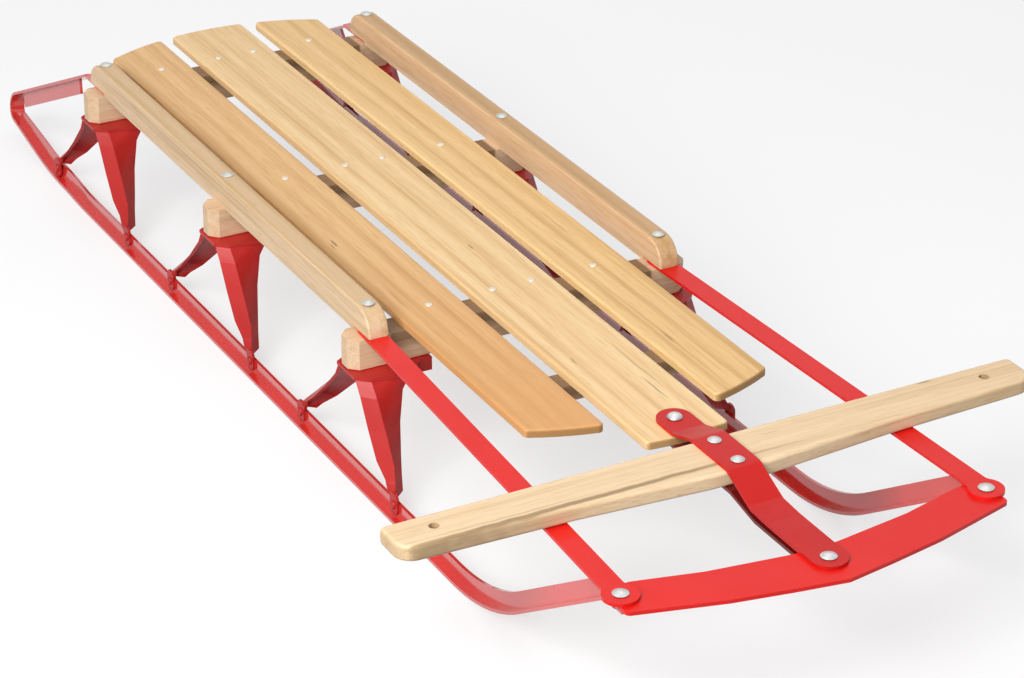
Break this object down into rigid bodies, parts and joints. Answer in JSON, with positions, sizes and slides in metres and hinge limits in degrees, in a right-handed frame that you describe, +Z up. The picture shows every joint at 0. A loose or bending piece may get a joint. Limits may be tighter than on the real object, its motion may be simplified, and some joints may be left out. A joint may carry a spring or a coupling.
{
  "type": "coasting sled",
  "caption": "Low wooden coasting sled with slatted deck and side rails on steel T-section runners, steered by a cross bar that bends the runners' fronts",
  "frame": {"origin": "on the ground under the middle of the sled's overall length, on its middle line", "axes": "+X forward to the bumper, +Y to the sled's left, +Z up"},
  "size_m": [1.4028, 0.61, 0.1683],
  "materials": {
    "slat_wood": "clear varnish, satin",
    "beam_wood": "clear varnish, satin",
    "rail_wood": "clear varnish, satin",
    "bar_wood": "clear varnish, satin",
    "red_steel": "gloss enamel",
    "zinc": "zinc plated"
  },
  "bodies": {
    "sled_frame": {"slat_centre": "slat_wood", "slat_right": "slat_wood", "slat_left": "slat_wood", "beam_rear": "beam_wood", "beam_middle": "beam_wood", "beam_front": "beam_wood", "cleat": "beam_wood", "rail_right": "rail_wood", "rail_left": "rail_wood", "rail_rivets": "zinc", "runner_right": "red_steel", "runner_left": "red_steel", "steering_rivet": "zinc", "knee_rear_right": "red_steel", "knee_rear_left": "red_steel", "knee_middle_right": "red_steel", "knee_middle_left": "red_steel", "knee_front_right": "red_steel", "knee_front_left": "red_steel"},
    "steering": {"steering_bar": "bar_wood", "strap_upper": "red_steel", "strap_lower": "red_steel", "bar_rivets": "zinc"},
    "bumper_unit": {"bumper": "red_steel", "bumper_rivets": "zinc"},
    "brace_right_unit": {"brace_right": "red_steel"},
    "brace_left_unit": {"brace_left": "red_steel"},
    "runner_front_right_unit": {"runner_front_right": "red_steel"},
    "runner_front_left_unit": {"runner_front_left": "red_steel"}
  },
  "joints": [
    {"name": "steering_turn", "type": "hinge", "parent": "sled_frame", "child": "steering", "pos_m": [0.433, 0, 0.146], "axis": [0, 0, 1], "range_deg": [-8, 8]},
    {"name": "bumper_turn", "type": "hinge", "parent": "steering", "child": "bumper_unit", "pos_m": [0.67, 0, 0.134], "axis": [0, 0, 1], "range_deg": [-7.6, 7.6]},
    {"name": "brace_right_turn", "type": "hinge", "parent": "sled_frame", "child": "brace_right_unit", "pos_m": [0.152, -0.1495, 0.139], "axis": [0, 0, 1], "range_deg": [-4, 4]},
    {"name": "brace_left_turn", "type": "hinge", "parent": "sled_frame", "child": "brace_left_unit", "pos_m": [0.152, 0.1495, 0.139], "axis": [0, 0, 1], "range_deg": [-4, 4]},
    {"name": "runner_right_flex", "type": "hinge", "parent": "sled_frame", "child": "runner_front_right_unit", "pos_m": [0.307, -0.171, 0.009], "axis": [0, 0, 1], "range_deg": [-5.8, 5.8]},
    {"name": "runner_left_flex", "type": "hinge", "parent": "sled_frame", "child": "runner_front_left_unit", "pos_m": [0.307, 0.171, 0.009], "axis": [0, 0, 1], "range_deg": [-5.8, 5.8]}
  ],
  "couplings": [
    {"joint": "bumper_turn", "follows": "steering_turn", "ratio": -0.936},
    {"joint": "brace_right_turn", "follows": "steering_turn", "ratio": 0.481},
    {"joint": "brace_left_turn", "follows": "steering_turn", "ratio": 0.481},
    {"joint": "runner_right_flex", "follows": "steering_turn", "ratio": 0.705},
    {"joint": "runner_left_flex", "follows": "steering_turn", "ratio": 0.705}
  ]
}
